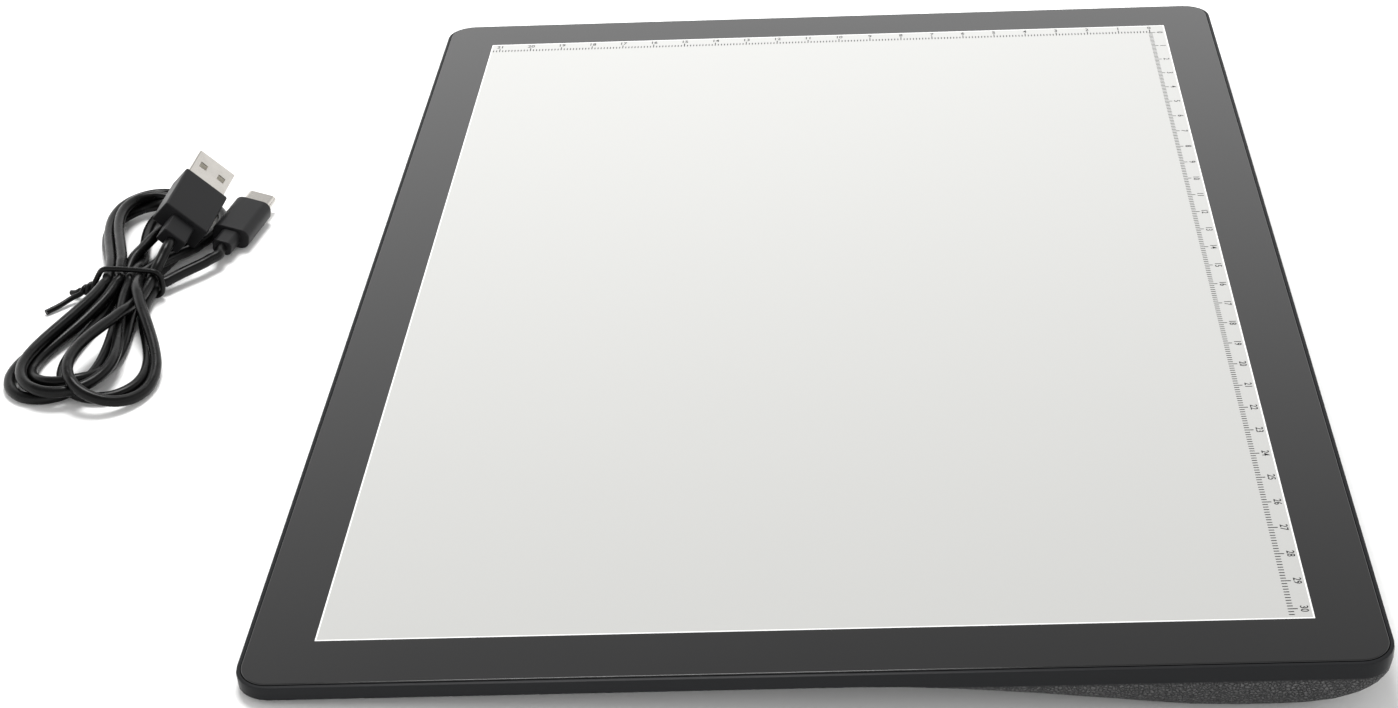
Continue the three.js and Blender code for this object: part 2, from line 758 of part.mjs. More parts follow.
const boot = { length: 7.6, width: 7.2, height: 5 };
const bodyA = { length: 18, width: 14, height: 8 };
const shellA = { length: 12.4, width: 12, height: 4.5, wall: 0.35, window: 2.3, embed: 4 };
const bootC = { length: 6.4, width: 5.6, height: 4.4 };
const bodyC = { length: 17, width: 10.8, height: 6.2 };
const shellC = { length: 6.7, width: 8.34, height: 2.56, wall: 0.3, embed: 3 };

function usbPlugA() {
  const group = plugFrame(plugA);
  const face = boot.length + bodyA.length;
  const pocketFront = face - shellA.embed - fitGap;
  let body = solid(bar(bodyA.width, bodyA.height, 0.8, boot.length, face));
  body = join(body, bar(boot.width, boot.height, 0.6, 0, boot.length + 1));
  body = cut(body, bar(shellA.width + fitGap, shellA.height + fitGap, 0.5, pocketFront, face + 1));
  group.add(node('usb_a_body', geometryOf(body), paint('#1d1d1e', 0.55)));

  const tip = face + shellA.length;
  const inner = shellA.width - 2 * shellA.wall;
  const shell = cut(
    solid(bar(shellA.width, shellA.height, 0.4, face - shellA.embed, tip)),
    bar(inner, shellA.height - 2 * shellA.wall, 0.3, face - shellA.embed + 1, tip + 1),
    ...[-3, 3].map((x) => block(
      [x - shellA.window / 2, tip - 6.5, -5],
      [x + shellA.window / 2, tip - 6.5 + shellA.window, 5],
    )),
  );
  group.add(node('usb_a_shell', geometryOf(shell), paint('#b9b6b1', 0.32, 0.95)));
  const tongue = block(
    [-inner / 2 + sheetGap, face - shellA.embed + 1.2, -shellA.height / 2 + shellA.wall + sheetGap],
    [inner / 2 - sheetGap, tip - 0.6, -0.15],
  );
  group.add(node('usb_a_tongue', tongue, paint('#e9e9e6', 0.5)));
  return group;
}

function usbPlugC() {
  const group = plugFrame(plugC);
  const face = bootC.length + bodyC.length;
  const pocketFront = face - shellC.embed - fitGap;
  let body = solid(bar(bodyC.width, bodyC.height, 2.6, bootC.length, face));
  body = join(body, bar(bootC.width, bootC.height, 1.6, 0, bootC.length + 1));
  const pocketWidth = shellC.width + fitGap;
  const pocketHeight = shellC.height + fitGap;
  body = cut(body, bar(pocketWidth, pocketHeight, pocketHeight / 2 - 0.01, pocketFront, face + 1));
  group.add(node('usb_c_body', geometryOf(body), paint('#1d1d1e', 0.55)));

  const tip = face + shellC.length;
  const holeWidth = shellC.width - 2 * shellC.wall;
  const holeHeight = shellC.height - 2 * shellC.wall;
  const shell = cut(
    solid(bar(shellC.width, shellC.height, shellC.height / 2 - 0.01, face - shellC.embed, tip)),
    bar(holeWidth, holeHeight, holeHeight / 2 - 0.01, face - shellC.embed + 1, tip + 1),
  );
  group.add(node('usb_c_shell', geometryOf(shell), paint('#b2b0ab', 0.3, 0.95)));
  return group;
}

// Where a plug's boot ends, a little behind its root.
function behind(plug, distance) {
  const group = plugFrame(plug);
  group.updateMatrixWorld();
  return new THREE.Vector3(0, -distance, 0).applyMatrix4(group.matrixWorld).toArray();
}

function chargingLead() {
  const group = new THREE.Group();
  const cable = () => paint('#161616', 0.6);
  const hank = cut(
    solid(slab(hankOutline(), 0, hankHeight, 6)),
    block([-20, -tieWire / 2 - touchGap, -1], [20, tieWire / 2 + touchGap, tieWire + touchGap]),
  );
  group.add(node('lead_hank', geometryOf(hank), cable()));

  const start = waistLength + 1 + touchGap;
  const tailA = tube([
    [4.6, start, hankHeight - leadDiameter / 2],
    [4.8, start + 1.5, hankHeight - leadDiameter / 2 + 0.3],
    behind(plugA, 2.5),
    behind(plugA, touchGap),
  ], leadDiameter, 5, 8);
  group.add(node('lead_tail_usb_a', tailA, cable()));
  const tailC = tube([
    [5.8, start, leadDiameter / 2 + 0.1],
    [5.8, start + 1.5, leadDiameter / 2 + 0.1],
    [13.5, start + 5.5, leadDiameter / 2 + 0.5],
    behind(plugC, 4),
    behind(plugC, touchGap),
  ], leadDiameter, 8, 8);
  group.add(node('lead_tail_usb_c', tailC, cable()));
  group.add(usbPlugA(), usbPlugC());

  const innerX = waistHalf + touchGap;
  const top = hankHeight + touchGap;
  const ring = roundedRect(-innerX - tieWire, 0, innerX + tieWire, top + tieWire, 2.2);
  ring.holes.push(roundedRect(-innerX, tieWire, innerX, top, 0.6));
  const band = slab(ring, -tieWire / 2, tieWire / 2, 4).rotateX(Math.PI / 2);
  group.add(node('tie_loop', band, paint('#141414', 0.7)));
  const tailX = -innerX - tieWire - touchGap;
  const tails = {
    tie_end_short: [[tailX, 0.8, 3], [-14, 0.8, 2], [-17.2, 4, 1]],
    tie_end_long: [[tailX, -0.8, 3], [-14, -0.9, 2], [-22.6, -7.6, 0.8]],
  };
  for (const [name, points] of Object.entries(tails)) {
    group.add(node(name, tube(points, tieWire * 0.75, 8, 6), paint('#141414', 0.7)));
  }
  return group;
}

// ---- Assembly -----------------------------------------------------------------------------------

const pad = new THREE.Group();
pad.add(casing(), lightStack(), chargingPort(), chargeLight(), mainBoard(), battery(), powerSwitch());
pad.rotation.x = padTilt;
pad.updateMatrixWorld(true);
const box = new THREE.Box3().setFromObject(pad, true);
const centre = box.getCenter(new THREE.Vector3());
pad.position.set(-centre.x, -centre.y, -box.min.z);

const lead = chargingLead();
lead.position.set(leadX, leadY, 0);
lead.rotation.z = THREE.MathUtils.degToRad(leadTurn);

const lightBox = new THREE.Group();
lightBox.add(pad, lead);

export default lightBox;
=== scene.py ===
import json
import math

import bpy
import numpy as np
from mathutils import Matrix, Vector


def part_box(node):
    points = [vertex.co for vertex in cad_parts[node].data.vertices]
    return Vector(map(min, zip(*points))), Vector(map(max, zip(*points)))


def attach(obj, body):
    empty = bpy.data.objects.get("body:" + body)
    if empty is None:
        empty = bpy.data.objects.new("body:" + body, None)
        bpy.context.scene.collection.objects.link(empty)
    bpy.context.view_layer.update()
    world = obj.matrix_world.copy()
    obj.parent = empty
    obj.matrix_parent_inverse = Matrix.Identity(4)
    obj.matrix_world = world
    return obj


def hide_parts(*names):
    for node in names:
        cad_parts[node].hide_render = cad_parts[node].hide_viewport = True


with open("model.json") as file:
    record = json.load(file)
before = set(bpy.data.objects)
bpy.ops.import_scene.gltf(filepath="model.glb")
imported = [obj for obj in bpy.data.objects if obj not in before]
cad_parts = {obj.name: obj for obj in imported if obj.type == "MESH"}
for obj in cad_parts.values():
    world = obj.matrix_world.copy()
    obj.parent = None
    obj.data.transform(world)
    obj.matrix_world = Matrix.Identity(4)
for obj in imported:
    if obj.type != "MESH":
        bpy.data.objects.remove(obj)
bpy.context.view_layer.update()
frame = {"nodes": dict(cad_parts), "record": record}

# Looks of the rechargeable tracing light box and of its charging lead. The CAD gives every place:
# the pad's own frame is read from the top panel, and the lead's from the tie round its hank.
# Lengths are metres. Those of the lead are millimetres, in its own frame, which LEAD scales.

MM = 0.001
NODES = frame["nodes"]
RECORD = frame["record"]


# ---- Frames of the pad and of the lead ----------------------------------------------------------

def pad_frame():
    """The pad's own frame: X along its long side, Z out of the panel, origin on the panel's face."""
    mesh = NODES["top_panel"].data
    face = max(mesh.polygons, key=lambda p: p.area * p.normal.z)
    turn = Matrix.Rotation(math.atan2(-face.normal.y, face.normal.z), 4, "X")
    places = np.array([turn.inverted() @ v.co for v in mesh.vertices])
    low, high = places.min(axis=0), places.max(axis=0)
    centre = Vector(((low[0] + high[0]) / 2, (low[1] + high[1]) / 2, high[2]))
    return turn @ Matrix.Translation(centre), (high - low) / 2


LEAD_TURN = math.radians(97)


def lead_frame():
    """The lead's own frame, in millimetres: origin under the tie, Y towards the plugs."""
    low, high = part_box("tie_loop")
    place = Matrix.Translation(((low.x + high.x) / 2, (low.y + high.y) / 2, 0))
    return place @ Matrix.Rotation(LEAD_TURN, 4, "Z") @ Matrix.Scale(MM, 4)


PAD, PANEL_HALF = pad_frame()
PAD_TILT = PAD.to_euler().x
LEAD = lead_frame()


# ---- Camera, light and floor --------------------------------------------------------------------

CAMERA_PLACE = (0.57333, 0.00376, 0.34243)
CAMERA_TURN = (57.8485, -0.6622, 90.5883)  # degrees, about X, Y and Z
CAMERA_LENS = 62.929  # for a sensor 36 mm wide
CAMERA_SHIFT = (-0.09198, 0.00633)
SKY_TURNS = (0.35, 0.75)  # heights on the unit sky between which it darkens
FLOOR_REACH = 6


def add_camera():
    data = bpy.data.cameras.new("camera")
    data.lens = CAMERA_LENS
    data.shift_x, data.shift_y = CAMERA_SHIFT
    data.clip_start, data.clip_end = 0.01, 20
    camera = bpy.data.objects.new("camera", data)
    camera.location = CAMERA_PLACE
    camera.rotation_euler = [math.radians(a) for a in CAMERA_TURN]
    bpy.context.scene.collection.objects.link(camera)
    bpy.context.scene.camera = camera


def add_area_light(name, place, aim, size, power):
    data = bpy.data.lights.new(name, "AREA")
    data.shape, data.size, data.energy = "SQUARE", size, power
    light = bpy.data.objects.new(name, data)
    light.location = place
    light.rotation_euler = (Vector(aim) - Vector(place)).to_track_quat("-Z", "Y").to_euler()
    bpy.context.scene.collection.objects.link(light)


def add_surround(zenith, horizon):
    """A plain white studio, brighter towards the horizon."""
    world = bpy.data.worlds.new("studio")
    bpy.context.scene.world = world
    world.use_nodes = True
    tree = world.node_tree
    place = tree.nodes.new("ShaderNodeTexCoord")
    split = tree.nodes.new("ShaderNodeSeparateXYZ")
    ramp = tree.nodes.new("ShaderNodeMapRange")
    ramp.interpolation_type = "SMOOTHSTEP"
    ramp.inputs["From Min"].default_value, ramp.inputs["From Max"].default_value = SKY_TURNS
    ramp.inputs["To Min"].default_value, ramp.inputs["To Max"].default_value = horizon, zenith
    tree.nodes["Background"].inputs["Color"].default_value = (1, 1, 1, 1)
    tree.links.new(place.outputs["Generated"], split.inputs[0])
    tree.links.new(split.outputs["Z"], ramp.inputs["Value"])
    tree.links.new(ramp.outputs[0], tree.nodes["Background"].inputs["Strength"])


def add_floor(finish):
    corners = [(x * FLOOR_REACH, y * FLOOR_REACH, 0) for x, y in [(-1, -1), (1, -1), (1, 1), (-1, 1)]]
    mesh = bpy.data.meshes.new("floor")
    mesh.from_pydata(corners, [], [(0, 1, 2, 3)])
    mesh.materials.append(finish)
    floor = bpy.data.objects.new("floor", mesh)
    bpy.context.scene.collection.objects.link(floor)


# ---- Finishes -----------------------------------------------------------------------------------

class Finish:
    """One procedural material. Its patterns are sized in metres of the object."""

    def __init__(self, name, color, roughness, metallic=0.0):
        self.material = bpy.data.materials.new(name)
        self.material.use_nodes = True
        self.material.diffuse_color = (*color, 1)
        self.tree = self.material.node_tree
        self.shader = self.tree.nodes["Principled BSDF"]
        self.set("Base Color", (*color, 1))
        self.set("Roughness", roughness)
        self.set("Metallic", metallic)

    def set(self, socket, value):
        self.shader.inputs[socket].default_value = value

    def plug(self, socket, source):
        self.tree.links.new(source, self.shader.inputs[socket])

    def node(self, kind, inputs, **settings):
        made = self.tree.nodes.new("ShaderNode" + kind)
        for key, value in settings.items():
            setattr(made, key, value)
        for key, value in inputs.items():
            if isinstance(value, bpy.types.NodeSocket):
                self.tree.links.new(value, made.inputs[key])
            else:
                made.inputs[key].default_value = value
        return made

    def place(self, size, stretch=(1, 1, 1), tilt=0.0):
        """The point of the object, in units of size, with the pad's tilt taken off."""
        here = self.node("TexCoord", {}).outputs["Object"]
        if tilt:
            here = self.node("Mapping", {"Vector": here, "Rotation": (-tilt, 0, 0)}).outputs[0]
        scale = [s / size for s in stretch]
        return self.node("Mapping", {"Vector": here, "Scale": scale}).outputs[0]

    def noise(self, size, detail=2.0, stretch=(1, 1, 1), tilt=0.0):
        where = self.place(size, stretch, tilt)
        inputs = {"Vector": where, "Scale": 1.0, "Detail": detail}
        return self.node("TexNoise", inputs).outputs[0]

    def cells(self, size, tilt=0.0):
        """Distance to the edge of irregular cells, 0 at the edge."""
        where = self.place(size, tilt=tilt)
        inputs = {"Vector": where, "Scale": 1.0}
        return self.node("TexVoronoi", inputs, feature="DISTANCE_TO_EDGE").outputs["Distance"]

    def spread(self, value, low, high, start=0.3, end=0.7):
        inputs = {"Value": value, "From Min": start, "From Max": end, "To Min": low, "To Max": high}
        return self.node("MapRange", inputs).outputs[0]

    def sum(self, a, b, operation="ADD"):
        return self.node("Math", {0: a, 1: b}, operation=operation).outputs[0]

    def tint(self, factor, first, second):
        made = self.node("Mix", {"Factor": factor}, data_type="RGBA")
        made.inputs["A"].default_value = (*first, 1)
        made.inputs["B"].default_value = (*second, 1)
        return made.outputs["Result"]

    def bump(self, height, depth):
        made = self.node("Bump", {"Height": height, "Distance": depth, "Strength": 1.0})
        self.plug("Normal", made.outputs[0])


def shaded(color, factor):
    return tuple(min(c * factor, 1.0) for c in color)


def moulded_plastic(name, color, roughness, gloss=0.3):
    """Fine spark-eroded texture, slightly uneven in sheen and tone."""
    grain, depth = 0.25 * MM, 0.006 * MM
    finish = Finish(name, color, roughness)
    finish.set("Specular IOR Level", gloss)
    cloud = finish.noise(18 * MM, 3)
    finish.plug("Roughness", finish.spread(cloud, roughness - 0.05, roughness + 0.06))
    finish.plug("Base Color", finish.tint(finish.spread(cloud, 0, 1), color, shaded(color, 1.18)))
    finish.bump(finish.noise(grain, 2), depth)
    return finish.material


def soft_sheet(name, color, roughness, grain):
    """Film, foam or tape: matte, with a fine even tooth."""
    finish = Finish(name, color, roughness)
    fibres = finish.noise(grain, 4)
    finish.plug("Base Color", finish.tint(finish.spread(fibres, 0, 1), shaded(color, 0.9), color))
    finish.bump(fibres, grain / 8)
    return finish.material


def brushed_metal(name, color, roughness, lines=(1, 0.02, 1), pitch=0.12 * MM):
    """Metal with fine rolling lines and faint handling marks."""
    finish = Finish(name, color, roughness, 1.0)
    marks = finish.noise(pitch, 3, stretch=lines)
    smears = finish.noise(4 * MM, 3)
    uneven = finish.sum(finish.spread(marks, -0.03, 0.05), finish.spread(smears, -0.02, 0.04))
    finish.plug("Roughness", finish.sum(uneven, roughness))
    finish.plug("Base Color", finish.tint(finish.spread(smears, 0, 1), color, shaded(color, 0.93)))
    finish.bump(marks, 0.0002 * MM)
    return finish.material


def clear_plastic(name, color):
    finish = Finish(name, color, 0.08)
    finish.set("Transmission Weight", 1.0)
    finish.set("IOR", 1.49)
    finish.plug("Roughness", finish.spread(finish.noise(9 * MM, 3), 0.05, 0.13))
    return finish.material


def panel_print(name, color, rough_low, rough_high):
    """Print behind a glossy sheet: a clean face with faint wiping marks in the sheen."""
    finish = Finish(name, color, rough_low)
    finish.set("IOR", 1.49)
    wipes = finish.noise(26 * MM, 4, stretch=(1, 0.35, 1), tilt=PAD_TILT)
    finish.plug("Roughness", finish.spread(wipes, rough_low, rough_high, 0.35, 0.75))
    finish.bump(finish.noise(120 * MM, 1, tilt=PAD_TILT), 0.02 * MM)
    return finish.material


GRAIN_START = 4.1 * MM  # depth below the panel's face where the smooth side ends
GRAIN_FULL = 4.9 * MM
# Painted reflection: this light grey on the grain's crests stands for the bright floor reflected in the
# rough underside.
GRAIN_CREST_HIGHLIGHT = (0.17, 0.17, 0.17)


def cover_plastic(name, color):
    """Satin near-black side, and a leather-like moulded grain on the underside, which is painted lighter,
    most on the grain's crests, as painted reflection of the bright floor.
    """
    finish = Finish(name, color, 0.4)
    finish.set("Specular IOR Level", 0.04)
    height = finish.node("SeparateXYZ", {0: finish.place(1.0, tilt=PAD_TILT)}).outputs["Z"]
    face = (Matrix.Rotation(-PAD_TILT, 4, "X") @ PAD.translation).z
    under = finish.spread(height, 1, 0, face - GRAIN_FULL, face - GRAIN_START)
    pebbles = finish.spread(finish.cells(0.85 * MM), 0, 1, 0.02, 0.3)
    ripple = finish.noise(0.35 * MM, 2)
    leather = finish.sum(pebbles, finish.spread(ripple, 0, 0.8))
    grained = finish.sum(leather, under, "MULTIPLY")
    satin = finish.spread(finish.noise(0.2 * MM, 2), 0, 0.012)
    finish.bump(finish.sum(grained, satin), 0.45 * MM)
    finish.plug("Roughness", finish.spread(under, 0.3, 0.4, 0, 1))
    # Painted reflection of the bright floor: the underside is tinted lighter than the side, and lighter
    # still on the grain's crests.
    crest_highlight = finish.sum(finish.spread(leather, 0.15, 1.0, 0.3, 1.7), under, "MULTIPLY")
    finish.plug("Base Color", finish.tint(crest_highlight, shaded(color, 0.5), GRAIN_CREST_HIGHLIGHT))
    return finish.material


def cable_jacket(name, color):
    """Extruded PVC: smooth and satin, with slight lengthwise unevenness and dust."""
    finish = Finish(name, color, 0.3)
    finish.set("Specular IOR Level", 0.14)
    finish.plug("Roughness", finish.spread(finish.noise(3 * MM, 3), 0.24, 0.36))
    dust = finish.spread(finish.noise(0.7 * MM, 4), 0, 1, 0.62, 0.8)
    finish.plug("Base Color", finish.tint(dust, shaded(color, 0.25), shaded(color, 0.7)))
    finish.bump(finish.noise(1.6 * MM, 2), 0.008 * MM)
    return finish.material


def studio_floor(name):
    finish = Finish(name, (0.93, 0.93, 0.925), 0.85)
    finish.set("Specular IOR Level", 0.2)
    finish.bump(finish.noise(1.2 * MM, 2), 0.02 * MM)
    return finish.material


def slot_finishes():
    """A material for each slot of the record."""
    colors = {m["slot"]: tuple(m["base_color"]) for m in RECORD["materials"]}
    made = {
        "top_acrylic": panel_print("white_print", shaded(colors["top_acrylic"], 0.62), 0.1, 0.16),
        "black_abs": cover_plastic("cover_plastic", colors["black_abs"]),
        "clear_acrylic": clear_plastic("clear_plastic", colors["clear_acrylic"]),
        "white_film": soft_sheet("white_film", colors["white_film"], 0.5, 0.3 * MM),
        "tape": soft_sheet("tape", colors["tape"], 0.7, 0.5 * MM),
        "foam": soft_sheet("foam", colors["foam"], 0.95, 0.7 * MM),
        "cable_jacket": cable_jacket("cable_jacket", colors["cable_jacket"]),
        "tie_vinyl": cable_jacket("tie_vinyl", colors["tie_vinyl"]),
        "plug_plastic": moulded_plastic("plug_plastic", shaded(colors["plug_plastic"], 0.5), 0.45, 0.14),
        "connector_steel": brushed_metal("nickel_steel", colors["connector_steel"], 0.2),
        "screw_steel": brushed_metal("black_steel", colors["screw_steel"], 0.35, (1, 1, 1)),
        "sheet_aluminium": brushed_metal("sheet_aluminium", colors["sheet_aluminium"], 0.3),
        "cell_pouch": brushed_metal("cell_pouch", colors["cell_pouch"], 0.32, (1, 1, 1)),
    }
    roughnesses = {
        "inner_plastic": 0.55, "button_plastic": 0.34, "rubber_foot": 0.8, "led_phosphor": 0.3,
        "circuit_board": 0.35, "flex_film": 0.4, "ivory_nylon": 0.5, "chip_epoxy": 0.5,
        "wire_red": 0.35, "wire_black": 0.35,
    }
    for slot, roughness in roughnesses.items():
        made[slot] = moulded_plastic(slot, colors[slot], roughness)
    return made


# ---- Mesh helpers -------------------------------------------------------------------------------

def add_piece(name, mesh, body, stands_for, sharp_angle=35):
    """Puts a finished mesh, in the row frame, into the scene in place of CAD nodes."""
    mesh.validate()
    mesh.shade_smooth()
    mesh.set_sharp_from_angle(angle=math.radians(sharp_angle))
    piece = bpy.data.objects.new(name, mesh)
    piece.modifiers.new("flats stay flat", "WEIGHTED_NORMAL").keep_sharp = True
    bpy.context.scene.collection.objects.link(piece)
    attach(piece, body)
    if stands_for:
        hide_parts(*stands_for)
    return piece


def mesh_of(name, places, faces, matrix, materials, indices=None):
    mesh = bpy.data.meshes.new(name)
    mesh.from_pydata([matrix @ Vector(p) for p in places], [], faces)
    for material in materials:
        mesh.materials.append(material)
    if indices:
        mesh.polygons.foreach_set("material_index", indices)
    return mesh


def rounded_rectangle(half_x, half_y, radius, steps):
    """Corner arcs counter-clockwise from the right of the front corner."""
    radius = min(radius, half_x, half_y)
    centres = [(1, -1, -90), (1, 1, 0), (-1, 1, 90), (-1, -1, 180)]
    ring = []
    for sx, sy, start in centres:
        for i in range(steps + 1):
            a = math.radians(start + 90 * i / steps)
            ring.append((
                sx * (half_x - radius) + radius * math.cos(a),
                sy * (half_y - radius) + radius * math.sin(a),
            ))
    return ring


def skin(rings):
    """Faces between equal rings stacked one after another, with both ends closed."""
    count = len(rings[0])
    faces = []
    for level in range(len(rings) - 1):
        for i in range(count):
            j = (i + 1) % count
            low, high = level * count, (level + 1) * count
            faces.append((low + i, low + j, high + j, high + i))
    last = (len(rings) - 1) * count
    faces.append(tuple(reversed(range(count))))
    faces.append(tuple(range(last, last + count)))
    return [p for ring in rings for p in ring], faces


def welded_copy(node, material, body):
    """A CAD node's own shape with its corners joined, so that it shades smoothly."""
    source = NODES[node].data
    places = {}
    lookup = []
    for vertex in source.vertices:
        key = tuple(round(c * 1e7) for c in vertex.co)
        lookup.append(places.setdefault(key, (len(places), vertex.co))[0])
    faces = [[lookup[i] for i in polygon.vertices] for polygon in source.polygons]
    faces = [f for f in faces if len(set(f)) == len(f)]
    corners = [place for _, place in places.values()]
    mesh = mesh_of(node + "_skin", corners, faces, Matrix(), [material])
    return add_piece(node + "_skin", mesh, body, [node])


# ---- Top panel and its rulers -------------------------------------------------------------------

PANEL_CORNER = 6.9 * MM
PANEL_BEVEL = 0.22 * MM
BEVEL_STEPS = 3
BORDER = 14.5 * MM  # from the panel's edge to the white area
EDGE_HIGHLIGHT_WIDTH = 0.35 * MM  # a strip of painted highlight round the white area's edge
WINDOW = (PANEL_HALF[0] - BORDER, PANEL_HALF[1] - BORDER)

RULER_ZERO_X = -149.05 * MM  # of the long ruler
RULER_ZERO_Y = 103.95 * MM  # of the short one
TICK_FOOT = 5.45 * MM  # from the white area's edge
TICK_SHORT = 1.25 * MM
TICK_LONG = 2.2 * MM
TICK_WIDTH = 0.28 * MM
DIGIT_FOOT = 2.65 * MM  # from the white area's edge to the foot of the numbers
DIGIT_HEIGHT = 1.75 * MM
INK = 0.015 * MM  # thickness of the print
CAP_HEIGHT = 0.69  # of the typeface, in its own units
DIGIT_WIDTH = 0.92  # of the numbers, to the typeface's own width


def panel_mesh(materials):
    """One closed sheet: white area, a painted highlight along its edge, the border, a bevelled rim and
    the back.
    """
    half_x, half_y, half_z = PANEL_HALF
    rings = []
    steps = 16
    for i in range(BEVEL_STEPS + 1):
        a = math.pi / 2 * i / BEVEL_STEPS
        inset = PANEL_BEVEL * (1 - math.sin(a))
        low = PANEL_BEVEL * (1 - math.cos(a))
        outline = rounded_rectangle(half_x - inset, half_y - inset, PANEL_CORNER - inset, steps)
        rings.append([(x, y, -low) for x, y in outline])
    rings.append([(x, y, -2 * half_z) for x, y, _ in rings[-1]])
    places, faces = skin(rings)
    faces = [tuple(reversed(f)) for f in faces]
    faces.pop(-2)  # the top's closing face, which the border and the white area take the place of
    indices = [1] * len(faces)
    count = len(rings[0])

    corner_of = [steps // 2 + (steps + 1) * i for i in range(4)]
    squares = []
    for inset in (0.0, EDGE_HIGHLIGHT_WIDTH):
        squares.append([len(places) + i for i in range(4)])
        for sx, sy in [(1, -1), (1, 1), (-1, 1), (-1, -1)]:
            places.append((sx * (WINDOW[0] - inset), sy * (WINDOW[1] - inset), 0))
    outer, inner = squares
    for i in range(4):
        j = (i + 1) % 4
        run = [k % count for k in range(corner_of[i], corner_of[i] + (steps + 1) + 1)]
        faces.append((*run, outer[j], outer[i]))
        indices.append(1)
        # The strip between the two squares takes the painted edge highlight.
        faces.append((outer[i], outer[j], inner[j], inner[i]))
        indices.append(2)
    faces.append(tuple(inner))
    indices.append(0)
    return mesh_of("top_panel_skin", places, faces, PAD, materials, indices)


def add_bar(places, faces, low, high):
    """A thin closed box of ink from one corner to the other, on the panel's face."""
    start = len(places)
    for z in (0.0, INK):
        for x, y in [(low[0], low[1]), (high[0], low[1]), (high[0], high[1]), (low[0], high[1])]:
            places.append((x, y, z))
    for face in [(0, 3, 2, 1), (4, 5, 6, 7), (0, 1, 5, 4), (1, 2, 6, 5), (2, 3, 7, 6), (3, 0, 4, 7)]:
        faces.append(tuple(start + i for i in face))


def ruler_ticks(last_mm):
    """Ticks of one ruler, drawn with its zero at the origin, X along it and Y towards its edge."""
    places, faces = [], []
    for i in range(last_mm + 1):
        length = TICK_LONG if i % 10 == 0 else TICK_SHORT
        x = i * MM
        add_bar(places, faces, (x - TICK_WIDTH / 2, 0), (x + TICK_WIDTH / 2, length))
    return places, faces


def number_mesh(text):
    """A number in the plain built-in typeface, centred across, in the typeface's own units."""
    curve = bpy.data.curves.new("number", "FONT")
    curve.body = text
    curve.align_x = "CENTER"
    curve.offset = 0.008  # a slightly bolder stroke
    curve.resolution_u = 3
    holder = bpy.data.objects.new("number", curve)
    bpy.context.scene.collection.objects.link(holder)
    solved = holder.evaluated_get(bpy.context.evaluated_depsgraph_get())
    mesh = bpy.data.meshes.new_from_object(solved)
    bpy.data.objects.remove(holder)
    bpy.data.curves.remove(curve)
    return mesh


def ruler_numbers(last_cm, flip):
    """Numbers at each centimetre, in the same frame as the ticks. Their faces become thin solids."""
    size = DIGIT_HEIGHT / CAP_HEIGHT
    places, faces = [], []
    for number in range(last_cm + 1):
        mesh = number_mesh(str(number))
        centre = number * 10 * MM
        start = len(places)
        foot = TICK_FOOT - DIGIT_FOOT
        for z in (0.0, INK):
            for vertex in mesh.vertices:
                x, y = vertex.co.x * size * DIGIT_WIDTH, vertex.co.y * size
                places.append((centre + (-x if flip else x), foot + y, z))
        count = len(mesh.vertices)
        sides = set()
        for polygon in mesh.polygons:
            ring = list(polygon.vertices)
            if (polygon.normal.z < 0) != flip:
                ring.reverse()
            faces.append([start + count + i for i in ring])
            faces.append([start + i for i in reversed(ring)])
            for a, b in zip(ring, ring[1:] + ring[:1]):
                sides.add((a, b))
        for a, b in sorted(sides):
            if (b, a) not in sides:
                faces.append([start + a, start + b, start + count + b, start + count + a])
        bpy.data.meshes.remove(mesh)
    return places, faces


def add_rulers(ink):
    """The long ruler runs along the back edge, the short one along the left edge."""
    edge_y, edge_x = WINDOW[1] - TICK_FOOT, -(WINDOW[0] - TICK_FOOT)
    long_place = PAD @ Matrix.Translation((RULER_ZERO_X, edge_y, 0))
    mirror = Matrix.Rotation(-math.pi / 2, 4, "Z") @ Matrix.Diagonal((1, -1, 1, 1))
    short_place = PAD @ Matrix.Translation((edge_x, RULER_ZERO_Y, 0)) @ mirror
    for name, place, last_cm, mirrored in [
        ("long_ruler", long_place, 30, False),
        ("short_ruler", short_place, 21, True),
    ]:
        for part, (places, faces) in [
            ("ticks", ruler_ticks(last_cm * 10 + 2)),
            ("numbers", ruler_numbers(last_cm, mirrored)),
        ]:
            if mirrored:
                faces = [tuple(reversed(f)) for f in faces]
            mesh = mesh_of(f"{name}_{part}", places, faces, place, [ink])
            add_piece(f"{name}_{part}", mesh, "pad", [])


# ---- Charging lead ------------------------------------------------------------------------------

CABLE = 3.0  # diameter in mm, as are all the lead's sizes below
FOLD_RADIUS = 8.3
SLOT_PITCH = 3.08  # between runs side by side under the tie
TIE_WIRE = 1.5
TIE_HOLD = 1.6  # half the length of cable that the tie holds
WAIST = 2.5  # half the length that the guide runs straight under it
TIE_GAP = 0.1  # between the tie and the runs
BUNDLE_BASE = TIE_WIRE + CABLE / 2 + TIE_GAP
STEP = 2.0  # between points of the cable while it settles
SETTLING_ROUNDS = 800
SINK = 0.04  # mm downwards in each round
STAY = 0.003  # share of the way back to the guide, in plan, in each round
STIFFNESS = 0.05
BEND_REACH = 5  # points across which a bend is kept from getting too tight
BEND_LIMIT = 0.96  # of the fold's radius
APART = 7  # points along the cable from which on it can touch itself
CONTACT = 1.03  # of the diameter, between runs that touch
NEARBY = 2.2  # of the diameter, within which runs are watched for touching
TAIL = 20  # points at each end, which slip freely under the tie
SLACK_TAKEN = 0.975  # share of the guide's length that is left once the folds lie flat

